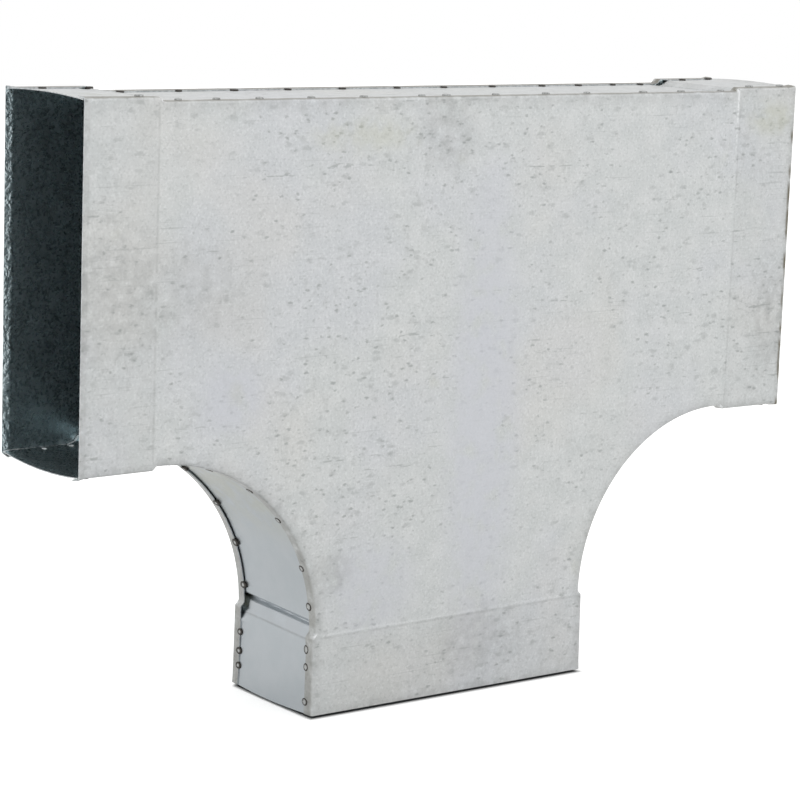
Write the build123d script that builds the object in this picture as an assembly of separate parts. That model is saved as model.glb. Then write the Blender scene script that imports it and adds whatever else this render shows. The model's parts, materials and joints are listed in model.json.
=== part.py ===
from build123d import *

import os
from math import cos, pi, sin, sqrt

# Swept equal tee for flat rectangular air duct, spot-welded from five galvanised sheets.
# Two T-shaped cheeks have their edges turned over the strips that close the tee between them.
# X runs along the straight run, Y is the depth and Z is up, in millimetres.
# The origin is the centre of the branch mouth, on which the tee stands.

# Plain duct that plugs into each mouth, measured outside
duct_height = 220.0
duct_depth = 90.0

# Sheet and folds
sheet = 0.7
fold_inner_radius = 0.9
lap_width = 6.5  # turned edge of a cheek, measured from its broad face
lap_gap = 0.5  # stand-off between a turned edge and the strip under it

# Sockets at the three mouths
collar_length = 50.0
joggle_length = 4.0  # length of the step between the body and a collar
face_clearance = 0.5  # play of the duct at each broad face
edge_clearance = 0.7  # play of the duct at each short wall
mouth_bow = 2.5  # bulge of the short walls at the mouth, dying out at the joggle
lip_length = 3.0  # flared lead-in at the mouth
lip_rise = 0.5

# Stop beads pressed into the strips just inside each joggle
bead_width = 4.0
bead_depth = 1.5
bead_setback = 3.0  # middle of a bead from the joggle

# Swept throats
throat_radius = 120.0
throat_lead = 3.0  # straight wall between the run's joggle and the throat

# Spot welds along the turned edges
weld_diameter = 6.0
weld_setback = 6.0  # weld centre from the broad face
weld_pitch = 40.0  # largest distance between neighbours
weld_margin = 9.0  # from a mouth or a joggle to the nearest weld
weld_crown = 0.25  # height of a weld above the turned edge

# Extra reach of a cutting solid past the faces that it cuts
cut_margin = 2.0

# Depths below the skin of the turned edges, and the two sections of the tee
fold_radius = fold_inner_radius + sheet
strip_skin = sheet + lap_gap
strip_back = strip_skin + sheet
bead_radius = (bead_width**2 / 4 + bead_depth**2) / (2 * bead_depth)
body_half_height = duct_height / 2
body_half_depth = duct_depth / 2
collar_half_height = body_half_height + edge_clearance + strip_back
collar_half_depth = body_half_depth + face_clearance + sheet

# Places of the joggles, mouths and throat centres
socket_length = collar_length + joggle_length
throat_centre_x = body_half_height + throat_radius
throat_centre_z = socket_length
joggle_x = throat_centre_x + throat_lead
run_half_length = joggle_x + socket_length
run_bottom = throat_centre_z + throat_radius
run_axis = run_bottom + body_half_height
run_top = run_axis + body_half_height

# Each mouth's plane looks out of the duct, with x along the duct's height and y along its depth
left_mouth = Plane(origin=(-run_half_length, 0, run_axis), x_dir=(0, 0, 1), z_dir=(-1, 0, 0))
right_mouth = Plane(origin=(run_half_length, 0, run_axis), x_dir=(0, 0, 1), z_dir=(1, 0, 0))
branch_mouth = Plane(origin=(0, 0, 0), x_dir=(1, 0, 0), z_dir=(0, 0, -1))


def tee_middle(edge_inset, face_inset, corner):
    """Straight-walled middle of the tee between its joggles, inset from the outer skin."""
    top = run_top - edge_inset
    bottom = run_bottom + edge_inset
    sweep = throat_radius + edge_inset
    foot_x = throat_centre_x - sweep
    half_depth = body_half_depth - face_inset
    outline = [
        Line((joggle_x, top), (-joggle_x, top)),
        Line((-joggle_x, top), (-joggle_x, bottom)),
        Line((-joggle_x, bottom), (-throat_centre_x, bottom)),
        CenterArc((-throat_centre_x, throat_centre_z), sweep, 90, -90),
        Line((-foot_x, throat_centre_z), (foot_x, throat_centre_z)),
        CenterArc((throat_centre_x, throat_centre_z), sweep, 180, -90),
        Line((throat_centre_x, bottom), (joggle_x, bottom)),
        Line((joggle_x, bottom), (joggle_x, top)),
    ]
    middle = extrude(Plane.XZ * make_face(outline), amount=half_depth, both=True)
    if corner:
        middle = fillet(folded_edges(middle, half_depth), corner)
    return middle


def folded_edges(middle, half_depth):
    """Edges of the two broad faces, apart from those at the three joggles."""
    tolerance = 1e-4

    def is_folded(edge):
        spot = edge.center()
        on_face = abs(abs(spot.Y) - half_depth) < tolerance
        at_run_joggle = abs(abs(spot.X) - joggle_x) < tolerance
        at_branch_joggle = abs(spot.Z - throat_centre_z) < tolerance
        return on_face and not at_run_joggle and not at_branch_joggle

    return [edge for edge in middle.edges() if is_folded(edge)]


def bow_rise(bow, half_chord, y):
    """How far a wall that is bowed out over a chord stands above that chord at a depth y."""
    radius = (half_chord**2 + bow**2) / (2 * bow)
    return bow - radius + sqrt(radius**2 - y**2)


def mouth_section(half_height, half_depth, half_chord, bow, corner):
    """Section across a socket: straight broad faces, short walls bowed out, corners rounded."""
    wall_y = half_depth - corner
    wall_x = half_height + (bow_rise(bow, half_chord, wall_y) if bow else 0)
    face_x = wall_x - corner

    def short_wall(side):
        start = (side * wall_x, -side * wall_y)
        end = (side * wall_x, side * wall_y)
        if bow:
            return ThreePointArc(start, (side * (half_height + bow), 0), end)
        return Line(start, end)

    def fold(side_x, side_y, start_angle):
        if corner:
            return [CenterArc((side_x * face_x, side_y * wall_y), corner, start_angle, 90)]
        return []

    outline = [short_wall(1)]
    outline += fold(1, 1, 0)
    outline += [Line((face_x, half_depth), (-face_x, half_depth))]
    outline += fold(-1, 1, 90)
    outline += [short_wall(-1)]
    outline += fold(-1, -1, 180)
    outline += [Line((-face_x, -half_depth), (face_x, -half_depth))]
    outline += fold(1, -1, 270)
    return make_face(outline)


def socket(mouth, edge_inset, face_inset, corner, overrun):
    """Joggle, collar and flared lip of one mouth, inset from the outer skin."""

    def section(station, half_height, half_depth, bow):
        half_chord = half_depth - fold_radius
        outline = mouth_section(half_height - edge_inset, half_depth - face_inset, half_chord, bow, corner)
        return mouth.offset(station) * outline

    bow_at_lip = mouth_bow * (1 - lip_length / collar_length)
    lip = (collar_half_height + lip_rise, collar_half_depth + lip_rise)
    sections = [
        section(-socket_length, body_half_height, body_half_depth, 0),
        section(-collar_length, collar_half_height, collar_half_depth, 0),
        section(-lip_length, collar_half_height, collar_half_depth, bow_at_lip),
        section(0, *lip, mouth_bow),
    ]
    if overrun:
        sections.append(section(overrun, *lip, mouth_bow))
    return loft(sections, ruled=True)


def envelope(edge_inset, face_inset, corner=0, overrun=0):
    """The whole tee as one solid, inset from the outer skin at its edges and at its broad faces."""
    tee = tee_middle(edge_inset, face_inset, corner)
    for mouth in (left_mouth, right_mouth, branch_mouth):
        tee += socket(mouth, edge_inset, face_inset, corner, overrun)
    return tee


def spread(start, end):
    """Evenly spaced places from start to end, no further apart than the weld pitch."""
    steps = max(1, -int(-abs(end - start) // weld_pitch))
    return [start + (end - start) * step / steps for step in range(steps + 1)]


def collar_weld_places():
    """Distances from a mouth to the welds on its collar."""
    return spread(weld_margin, collar_length - weld_margin)


def collar_rise(from_mouth):
    """How far a collar's turned edge stands above the body's at a weld."""
    bow = mouth_bow * (1 - from_mouth / collar_length)
    weld_y = collar_half_depth - weld_setback
    step = collar_half_height - body_half_height
    return step + bow_rise(bow, collar_half_depth - fold_radius, weld_y)


def heel_welds():
    """Welds along the heel, each as its place in X and Z, its outward direction and its half depth."""
    up = (0, 1)
    body_end = joggle_x - weld_margin
    places = [(x, run_top, up, body_half_depth) for x in spread(-body_end, body_end)]
    for from_mouth in collar_weld_places():
        for side in (-1, 1):
            x = side * (run_half_length - from_mouth)
            places.append((x, run_top + collar_rise(from_mouth), up, collar_half_depth))
    return places


def throat_welds(side):
    """Welds round one throat and along its two collars."""
    places = []
    for from_mouth in collar_weld_places():
        rise = collar_rise(from_mouth)
        run_place = (side * (run_half_length - from_mouth), run_bottom - rise)
        branch_place = (side * (body_half_height + rise), from_mouth)
        places.append((*run_place, (0, -1), collar_half_depth))
        places.append((*branch_place, (side, 0), collar_half_depth))
    margin_angle = weld_margin / throat_radius
    turns = [length / throat_radius for length in spread(0, throat_radius * (pi / 2 - 2 * margin_angle))]
    for turn in turns:
        toward_wall_x = -side * cos(margin_angle + turn)
        toward_wall_z = sin(margin_angle + turn)
        x = side * throat_centre_x + throat_radius * toward_wall_x
        z = throat_centre_z + throat_radius * toward_wall_z
        places.append((x, z, (-toward_wall_x, -toward_wall_z), body_half_depth))
    return places


def weld_button(place):
    """One weld on the front cheek: a low button that goes through the turned edge to the strip under it."""
    x, z, (out_x, out_z), half_depth = place
    y = weld_setback - half_depth
    foot = strip_back
    base = Plane(origin=(x - foot * out_x, y, z - foot * out_z), z_dir=(out_x, 0, out_z))
    bottom = (Align.CENTER, Align.CENTER, Align.MIN)
    return base * Cylinder(weld_diameter / 2, foot + weld_crown, align=bottom)


def make_front_cheek():
    """The front cheek with its turned edges and its welds."""
    shell = envelope(0, 0, fold_radius) - envelope(sheet, sheet, fold_inner_radius, cut_margin)
    trays = shell - envelope(-cut_margin, lap_width, overrun=cut_margin)
    tray = min(trays.solids(), key=lambda solid: solid.center().Y)
    buttons = Part() + [weld_button(place) for place in heel_welds() + throat_welds(-1) + throat_welds(1)]
    buttons -= envelope(strip_skin, fold_radius, overrun=cut_margin)
    return tray + buttons


def bead_bars(radius, length):
    """Bars across the strips that round off the stop beads, one just inside each joggle."""
    above_skin = bead_radius - bead_depth
    places = []
    for side in (-1, 1):
        run_x = side * (joggle_x - bead_setback)
        branch_x = side * (body_half_height - strip_skin + above_skin)
        places.append((run_x, run_top - strip_skin + above_skin))
        places.append((run_x, run_bottom + strip_skin - above_skin))
        places.append((branch_x, throat_centre_z + bead_setback))
    return [Pos(x, 0, z) * Rot(90, 0, 0) * Cylinder(radius, length) for x, z in places]


def make_strips():
    """The left throat strip and the heel strip, which lie under the cheeks' turned edges."""
    through = 2 * (collar_half_depth + 2 * cut_margin)
    air = envelope(strip_back, -cut_margin, overrun=cut_margin)
    air -= bead_bars(bead_radius + sheet, through)
    walls = envelope(strip_skin, fold_radius) - air
    walls -= bead_bars(bead_radius, through)
    left_throat, heel, _ = sorted(walls.solids(), key=lambda solid: solid.center().X)
    return left_throat, heel


front_cheek = make_front_cheek()
left_throat_strip, heel_strip = make_strips()
pieces = {
    "front_cheek": front_cheek,
    "rear_cheek": mirror(front_cheek, about=Plane.XZ),
    "heel_strip": heel_strip,
    "left_throat_strip": left_throat_strip,
    "right_throat_strip": mirror(left_throat_strip, about=Plane.YZ),
}

os.makedirs("parts", exist_ok=True)
for node, piece in pieces.items():
    export_step(piece, f"parts/{node}.step")
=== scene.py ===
"""Swept duct tee: five galvanised sheets, their spot welds and a plain studio.

Lengths inside the classes are millimetres in the part's own frame: X along the run, Y through the depth
with the front at minus Y, and Z up from the branch mouth. Each mesh is brought to metres as it is shown.
"""

import json
import logging
from collections.abc import Callable, Sequence
from dataclasses import dataclass
from enum import Enum
from functools import partial
from math import atan2, ceil, copysign, hypot, pi, radians
from random import Random

import bmesh
import bpy
from bmesh.types import BMEdge, BMesh, BMVert
from bpy.types import Material, Node, NodeSocket, NodeTree, Object
from mathutils import Matrix, Vector, noise


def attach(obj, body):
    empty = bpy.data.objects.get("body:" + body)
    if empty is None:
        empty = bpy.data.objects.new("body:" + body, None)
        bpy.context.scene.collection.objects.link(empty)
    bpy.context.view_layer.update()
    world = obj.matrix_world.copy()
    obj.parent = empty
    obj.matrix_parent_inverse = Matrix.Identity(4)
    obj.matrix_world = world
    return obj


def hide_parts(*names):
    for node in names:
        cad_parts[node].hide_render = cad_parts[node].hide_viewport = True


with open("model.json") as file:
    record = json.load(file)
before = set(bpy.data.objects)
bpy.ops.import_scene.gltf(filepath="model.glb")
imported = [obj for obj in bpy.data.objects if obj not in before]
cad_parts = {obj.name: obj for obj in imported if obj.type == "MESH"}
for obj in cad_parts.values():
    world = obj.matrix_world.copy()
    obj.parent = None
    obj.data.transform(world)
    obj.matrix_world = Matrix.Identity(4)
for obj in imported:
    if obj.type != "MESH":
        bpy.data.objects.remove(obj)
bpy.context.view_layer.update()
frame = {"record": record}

MM = 0.001
LOG = logging.getLogger("swept_duct_tee")

ALONG, DEPTH, UP = Vector((1, 0, 0)), Vector((0, 1, 0)), Vector((0, 0, 1))

# Distances in millimetres within which two places count as one
SNAP = 1e-3
FINE_SNAP = 1e-4

# Sockets of a colour Mix node, which share their names and so are taken by number
MIX_FACTOR, MIX_A, MIX_B, MIX_RESULT = 0, 6, 7, 2


class CheekSide(Enum):
    """The two broad plates, by the sign of their place in Y."""

    FRONT = -1
    REAR = 1


class SeamPath(Enum):
    """The turned edges of a cheek, by the sign of their place in X; the heel spans both."""

    LEFT_THROAT = -1
    HEEL = 0
    RIGHT_THROAT = 1


class BlotKind(Enum):
    """Large soft marks that storing leaves on a broad face, by the attribute that carries them."""

    SMUDGE = "smudge"
    BLOOM = "bloom"
    STAIN = "stain"


def linear(code: str) -> tuple[float, float, float, float]:
    """Turns an sRGB hex colour into linear light with full alpha.

    Args:
        code: six hex digits after a hash.

    Returns:
        Red, green, blue and alpha for a colour socket.
    """
    shares = [int(code[at : at + 2], 16) / 255 for at in (1, 3, 5)]
    red, green, blue = [c / 12.92 if c <= 0.04045 else ((c + 0.055) / 1.055) ** 2.4 for c in shares]
    return red, green, blue, 1.0


def clamp(value: float) -> float:
    """Value held between 0 and 1."""
    return min(max(value, 0.0), 1.0)


def ease(value: float) -> float:
    """Smooth step from 0 to 1 as the value goes from 0 to 1, flat outside."""
    t = clamp(value)
    return t * t * (3.0 - 2.0 * t)


def hump(offset: float, reach: float, fullness: float = 1.0) -> float:
    """Share that is 1 in the middle and falls smoothly to 0 at its reach.

    Args:
        offset: distance from the middle.
        reach: distance at which the share has gone.
        fullness: how many times steeper the fall is, which leaves a flat top.

    Returns:
        The share, from 0 to 1.
    """
    return ease(fullness * (1.0 - abs(offset) / reach))


def add_node(tree: NodeTree, kind: str, inputs: dict | None = None, **settings: object) -> Node:
    """Adds a shader node with its settings, socket values and links.

    Args:
        tree: node tree that gets the node.
        kind: the node's type name without its leading ShaderNode.
        inputs: for each socket name or number, a value or the output that is linked to it.
        settings: properties of the node itself.

    Returns:
        The new node.
    """
    node = tree.nodes.new("ShaderNode" + kind)
    for name, value in settings.items():
        setattr(node, name, value)
    for socket, value in (inputs or {}).items():
        if isinstance(value, NodeSocket):
            tree.links.new(value, node.inputs[socket])
        else:
            node.inputs[socket].default_value = value
    return node


def per_metre(size: float) -> float:
    """Texture scale at which a pattern's features are about the given size in millimetres."""
    return 1.0 / (size * MM)


def slice_sheet(bm: BMesh, place: tuple[float, float, float], across: Vector) -> None:
    """Cuts every face of a sheet along a plane.

    Args:
        bm: the sheet.
        place: a point of the plane.
        across: direction that the plane faces.
    """
    geom = bm.verts[:] + bm.edges[:] + bm.faces[:]
    bmesh.ops.bisect_plane(bm, geom=geom, dist=FINE_SNAP, plane_co=place, plane_no=across)


@dataclass(frozen=True)
class TeeSizes:
    """Sizes of the tee: those of its solids, apart from its wider laps and longer lips."""

    run_half_length: float
    run_axis: float
    collar_length: float
    half_height: float = 110.0
    half_depth: float = 45.0
    sheet: float = 0.7
    fold_radius: float = 1.6
    lap_width: float = 7.6
    lap_gap: float = 0.5
    joggle_length: float = 4.0
    edge_step: float = 2.6
    face_step: float = 1.2
    lip_length: float = 6.0
    lip_rise: float = 0.8
    throat_lead: float = 3.0

    @classmethod
    def from_frame(cls) -> "TeeSizes":
        """Takes the run's reach and height and the socket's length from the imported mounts."""
        mouth = next(m for m in frame["record"]["mounts"] if m["name"] == "right_socket")
        x, _, z = mouth["pos_m"]
        return cls(run_half_length=x / MM, run_axis=z / MM, collar_length=mouth["dims"]["length_mm"])

    @property
    def socket_length(self) -> float:
        """Collar and joggle together, from a mouth to the plain body."""
        return self.collar_length + self.joggle_length

    @property
    def throat_x(self) -> float:
        """Distance in X of the throat centres from the middle."""
        return self.run_half_length - self.socket_length - self.throat_lead

    @property
    def throat_z(self) -> float:
        """Height of the throat centres."""
        return self.socket_length

    @property
    def run_bottom(self) -> float:
        """Height of the run's lower skin between the joggles."""
        return self.run_axis - self.half_height

    @property
    def run_top(self) -> float:
        """Height of the run's upper skin between the joggles."""
        return self.run_axis + self.half_height

    @property
    def throat_radius(self) -> float:
        """Radius of the swept throats at the skin of the turned edges."""
        return self.run_bottom - self.throat_z

    @property
    def strip_skin(self) -> float:
        """Depth of a strip's outer skin under the skin of the turned edges."""
        return self.sheet + self.lap_gap

    def from_fold(self, point: Vector) -> float:
        """Distance of a point of a broad face from the nearest fold.

        Args:
            point: place on the face.

        Returns:
            The distance, in millimetres.
        """
        x = abs(point.x)
        if point.z < self.throat_z:
            return self.half_height - x
        if x < self.throat_x:
            below = hypot(x - self.throat_x, point.z - self.throat_z) - self.throat_radius
        else:
            below = point.z - self.run_bottom
        return min(self.run_top - point.z, below)

    def inside(self, point: Vector) -> float:
        """Distance of a point of a broad face from the nearest fold or joggle.

        Args:
            point: place on the face.

        Returns:
            The distance, in millimetres.
        """
        from_run_joggle = self.throat_x + self.throat_lead - abs(point.x)
        return min(self.from_fold(point), from_run_joggle, point.z - self.socket_length)


@dataclass(frozen=True)
class Swage:
    """The press work at the three mouths: joggle, stop bead, bowed short walls and flared lip."""

    sizes: TeeSizes
    # Stop bead across a strip; the slant is its extra depth at the rear
    bead_width: float = 4.8
    bead_depth: float = 2.8
    bead_setback: float = 4.4
    bead_slant: float = 0.3
    # Ramp from the bead up to the collar, in distances from the mouth; it comes later under the rear lap
    ramp_start: float = 57.6
    ramp_end: float = 49.4
    ramp_lag: float = 7.0
    lag_start: float = 30.0
    lag_end: float = 36.0
    crest: float = 0.5
    crest_length: float = 2.0
    crest_sharpness: int = 3
    # Sharp line of the joggle across a broad face
    crease_length: float = 1.8
    crease_share: float = 0.09
    crease_crest: float = 0.06
    crease_setback: float = 2.0
    # How much further from its mouth than planned each joggle was pressed
    left_slip: float = 2.0
    right_slip: float = 0.5
    branch_right_slip: float = 1.8
    branch_rear_slip: float = 2.8
    # Flared lip
    lip_curl: float = 1.5
    branch_lip_share: float = 0.25
    # Pocket between a strip and the rear lap
    pocket_depth: float = 2.6
    pocket_middle: float = 54.5
    pocket_length: float = 13.0
    pocket_fullness: float = 2.0
    # Bulge of the short walls, which begin at this share of the half height
    heel_bow: float = 1.6
    run_throat_bow: float = 2.8
    branch_bow: float = 3.6
    wall_share: float = 0.9
    # Cuts that let a plain sheet take the pressed form
    station_pitch: float = 0.5
    lip_cuts: int = 5
    collar_cuts: int = 6

    @property
    def reach(self) -> float:
        """Distance from a mouth beyond which the sheets are as they were folded."""
        return self.sizes.socket_length + self.bead_setback + self.bead_width + self.branch_rear_slip

    @property
    def crease_place(self) -> float:
        """Distance from a mouth of the sharp line that the joggle makes across a broad face."""
        return self.sizes.collar_length + self.crease_setback

    def slip(self, point: Vector, on_run: bool) -> float:
        """How much further from its mouth than planned a joggle was pressed.

        Args:
            point: place on the plain tee.
            on_run: whether the mouth is one of the run's.

        Returns:
            The extra distance, which on the branch grows from the front left corner to the right and rear.
        """
        s = self.sizes
        if on_run:
            return self.left_slip if point.x < 0 else self.right_slip
        to_right = clamp((1.0 + point.x / s.half_height) / 2)
        to_rear = clamp((1.0 + point.y / s.half_depth) / 2)
        return self.branch_right_slip * to_right + self.branch_rear_slip * to_rear * (1.0 - to_right)

    def from_mouth(self, point: Vector) -> tuple[bool, float]:
        """How far a point is from its own mouth, in the lengths that were planned for the joggle.

        Args:
            point: place on the plain tee.

        Returns:
            Whether the mouth is one of the run's, and the distance without the joggle's slip.
        """
        s = self.sizes
        on_run = abs(point.x) > s.run_half_length - self.reach
        distance = s.run_half_length - abs(point.x) if on_run else point.z
        return on_run, distance - self.slip(point, on_run) * min(1.0, distance / s.collar_length)

    def turned_edge_step(self, from_mouth: float) -> float:
        """Rise of a cheek's turned edge at a distance from the mouth."""
        s = self.sizes
        return s.edge_step * ease((s.socket_length - from_mouth) / s.joggle_length)

    def under_rear_lap(self, aside: float) -> float:
        """Share, from 0 to 1, by which a place across a strip lies under the rear lap."""
        return ease((aside * self.sizes.half_depth - self.lag_start) / (self.lag_end - self.lag_start))

    def pocket(self, from_mouth: float, aside: float) -> float:
        """Share of the dark pocket that the joggle leaves between a strip and the rear lap.

        Args:
            from_mouth: distance from the mouth.
            aside: place across the strip, from -1 at the front to 1 at the rear.

        Returns:
            The share, from 0 to 1.
        """
        offset = from_mouth - self.pocket_middle
        return self.under_rear_lap(aside) * hump(offset, self.pocket_length / 2, self.pocket_fullness)

    def strip_step(self, from_mouth: float, aside: float) -> float:
        """Rise of a strip at a distance from the mouth: it dips into the bead and then climbs to the collar.

        Args:
            from_mouth: distance from the mouth.
            aside: place across the strip, from -1 at the front to 1 at the rear, where the bead is deeper,
                the climb starts later and the strip is pushed in under the lap.

        Returns:
            The outward rise, in millimetres.
        """
        s = self.sizes
        bead_middle = s.socket_length + self.bead_setback
        dip = hump(from_mouth - bead_middle, self.bead_width / 2)
        late = self.ramp_lag * self.under_rear_lap(aside)
        climb = clamp((self.ramp_start - late - from_mouth) / (self.ramp_start - self.ramp_end))
        past_ramp = (self.ramp_end - late - from_mouth) / self.crest_length
        ridge = climb**self.crest_sharpness * (1.0 - ease(past_ramp))
        bead = self.bead_depth * (1.0 + self.bead_slant * aside) * dip
        pushed_in = max(bead, self.pocket_depth * self.pocket(from_mouth, aside))
        return s.edge_step * climb + self.crest * ridge - pushed_in

    def face_rise(self, from_mouth: float) -> float:
        """Rise of a broad face at a distance from the mouth: a small sharp joggle, then a slight taper."""
        s = self.sizes
        past = self.crease_place + self.crease_length / 2 - from_mouth
        crease = ease(past / self.crease_length)
        ridge = crease * (1.0 - ease(past / self.crease_length - 1.0))
        taper = max(0.0, 1.0 - from_mouth / s.socket_length)
        joggle = s.face_step * (self.crease_share * crease + (1.0 - self.crease_share) * taper)
        return joggle + self.crease_crest * ridge

    def bow(self, point: Vector, from_mouth: float, on_run: bool) -> float:
        """Bulge of a short wall at a point, which is largest in the middle of the mouth.

        Args:
            point: place on the wall before pressing.
            from_mouth: its distance from the mouth.
            on_run: whether the mouth is one of the run's.

        Returns:
            The outward rise, in millimetres.
        """
        s = self.sizes
        size = self.branch_bow
        if on_run:
            size = self.heel_bow if point.z > s.run_axis else self.run_throat_bow
        along = max(0.0, 1.0 - from_mouth / s.collar_length)
        across = max(0.0, 1.0 - (point.y / (s.half_depth - s.fold_radius)) ** 2)
        return size * along * across

    def press(self, point: Vector, step: Callable[[float], float]) -> Vector:
        """Moves a point of the plain folded tee to where the pressed tee has it.

        Args:
            point: place on the plain tee.
            step: rise of the short wall at a distance from the mouth.

        Returns:
            The pressed place.
        """
        s = self.sizes
        on_run, from_mouth = self.from_mouth(point)
        moved = point.copy()
        if from_mouth > self.reach:
            return moved
        lip = s.lip_rise * max(0.0, 1.0 - from_mouth / s.lip_length) ** self.lip_curl
        if not on_run:
            lip *= self.branch_lip_share
        moved.y *= 1.0 + (self.face_rise(from_mouth) + lip) / s.half_depth
        across = (point.z - s.run_axis if on_run else point.x) / s.half_height
        rise = across * (step(from_mouth) + lip)
        if abs(across) > self.wall_share:
            rise += copysign(self.bow(point, from_mouth, on_run), across)
        if on_run:
            moved.z += rise
        else:
            moved.x += rise
        return moved

    def stations(self) -> list[float]:
        """Distances from a mouth at which the sheets are cut so that they can take the pressed form."""
        s = self.sizes
        lip = [s.lip_length * part / self.lip_cuts for part in range(1, self.lip_cuts + 1)]
        start = self.ramp_end - self.ramp_lag - self.crest_length
        plain = start - s.lip_length
        collar = [s.lip_length + plain * part / self.collar_cuts for part in range(1, self.collar_cuts)]
        cuts = ceil((self.reach - start) / self.station_pitch)
        return lip + collar + [start + (self.reach - start) * part / cuts for part in range(cuts)]

    def cut(self, bm: BMesh, mirrored: bool) -> None:
        """Cuts a plain sheet at every station of its mouths.

        Args:
            bm: the sheet.
            mirrored: whether the sheet has a run mouth on the left too.
        """
        for station in self.stations():
            run_x = self.sizes.run_half_length - station
            slice_sheet(bm, (run_x, 0, 0), ALONG)
            slice_sheet(bm, (0, 0, station), UP)
            if mirrored:
                slice_sheet(bm, (-run_x, 0, 0), ALONG)


@dataclass(frozen=True)
class Seam:
    """One turned edge, followed by its length from mouth to mouth."""

    sizes: TeeSizes
    path: SeamPath

    @property
    def lead(self) -> float:
        """Straight length of a throat's seam from the run mouth to the arc."""
        return self.sizes.run_half_length - self.sizes.throat_x

    @property
    def arc(self) -> float:
        """Length of a throat's arc."""
        return self.sizes.throat_radius * pi / 2

    @property
    def length(self) -> float:
        """Whole length of the seam."""
        if self.path is SeamPath.HEEL:
            return 2 * self.sizes.run_half_length
        return self.lead + self.arc + self.sizes.throat_z

    def along(self, point: Vector) -> float:
        """Length along the seam at which a point lies."""
        s = self.sizes
        if self.path is SeamPath.HEEL:
            return point.x + s.run_half_length
        x = abs(point.x)
        if point.z < s.throat_z:
            return self.lead + self.arc + s.throat_z - point.z
        if x > s.throat_x:
            return s.run_half_length - x
        return self.lead + s.throat_radius * atan2(s.throat_x - x, point.z - s.throat_z)

    def at(self, length: float) -> tuple[Vector, Vector]:
        """Place and outward direction at a length along the seam, in the middle of the depth.

        Args:
            length: distance along the seam from its first mouth.

        Returns:
            The place on the skin of the turned edges, and the direction that points out of the duct.
        """
        s = self.sizes
        if self.path is SeamPath.HEEL:
            return Vector((length - s.run_half_length, 0, s.run_top)), Vector((0, 0, 1))
        side = self.path.value
        if length < self.lead:
            return Vector((side * (s.run_half_length - length), 0, s.run_bottom)), Vector((0, 0, -1))
        if length > self.lead + self.arc:
            return Vector((side * s.half_height, 0, self.length - length)), Vector((side, 0, 0))
        turn = Matrix.Rotation(-side * (length - self.lead) / s.throat_radius, 3, "Y")
        centre = Vector((side * s.throat_x, 0, s.throat_z))
        toward_wall = turn @ Vector((0, 0, 1))
        return centre + s.throat_radius * toward_wall, -toward_wall

    def welds(self, pitch: float = 40.0, margin: float = 9.0) -> list[float]:
        """Lengths along the seam of its spot welds, spread evenly over the collars and the body.

        Args:
            pitch: largest distance between neighbours.
            margin: distance of the outer welds from the ends of a collar and of the body.

        Returns:
            The lengths in rising order.
        """
        s = self.sizes
        body = (s.socket_length, self.length - s.socket_length)
        if self.path is not SeamPath.HEEL:
            body = (self.lead, self.lead + self.arc)
        places: list[float] = []
        for start, end in ((0.0, s.collar_length), body, (self.length - s.collar_length, self.length)):
            reach = end - start - 2 * margin
            steps = max(1, ceil(reach / pitch))
            places += [start + margin + reach * step / steps for step in range(steps + 1)]
        return places


@dataclass(frozen=True)
class Blot:
    """One large soft mark on a broad face, in millimetres."""

    kind: BlotKind
    x: float
    z: float
    half_width: float
    half_height: float
    strength: float
    fullness: float = 1.5

    def share(self, x: float, z: float) -> float:
        """Share of the mark at a place, fading from its middle to its border."""
        off = hypot((x - self.x) / self.half_width, (z - self.z) / self.half_height)
        return self.strength * hump(off, 1.0, self.fullness)


# Marks of the front cheek, each by its middle, half sizes and strength; the rear cheek has them turned round
BLOTS = (
    Blot(BlotKind.SMUDGE, -245.0, 278.0, 120.0, 50.0, 0.7),
    Blot(BlotKind.SMUDGE, -18.0, 372.0, 32.0, 32.0, 0.9),
    Blot(BlotKind.SMUDGE, 22.0, 34.0, 52.0, 32.0, 0.7),
    Blot(BlotKind.SMUDGE, -99.0, 92.0, 24.0, 18.0, 0.9),
    Blot(BlotKind.SMUDGE, 276.0, 235.0, 26.0, 48.0, 0.8),
    Blot(BlotKind.BLOOM, 20.0, 180.0, 42.0, 215.0, 1.0),
    Blot(BlotKind.BLOOM, -179.0, 212.0, 34.0, 34.0, 0.8),
    Blot(BlotKind.BLOOM, -68.0, 80.0, 48.0, 44.0, 0.8),
    Blot(BlotKind.STAIN, -85.0, 371.0, 56.0, 15.0, 0.6),
    Blot(BlotKind.STAIN, 268.0, 373.0, 32.0, 15.0, 0.75),
)


def nearest_seam(sizes: TeeSizes, point: Vector) -> Seam:
    """The seam whose turned edge a point of a cheek lies on."""
    if point.z > sizes.run_axis:
        return Seam(sizes, SeamPath.HEEL)
    return Seam(sizes, SeamPath.LEFT_THROAT if point.x < 0 else SeamPath.RIGHT_THROAT)


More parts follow.
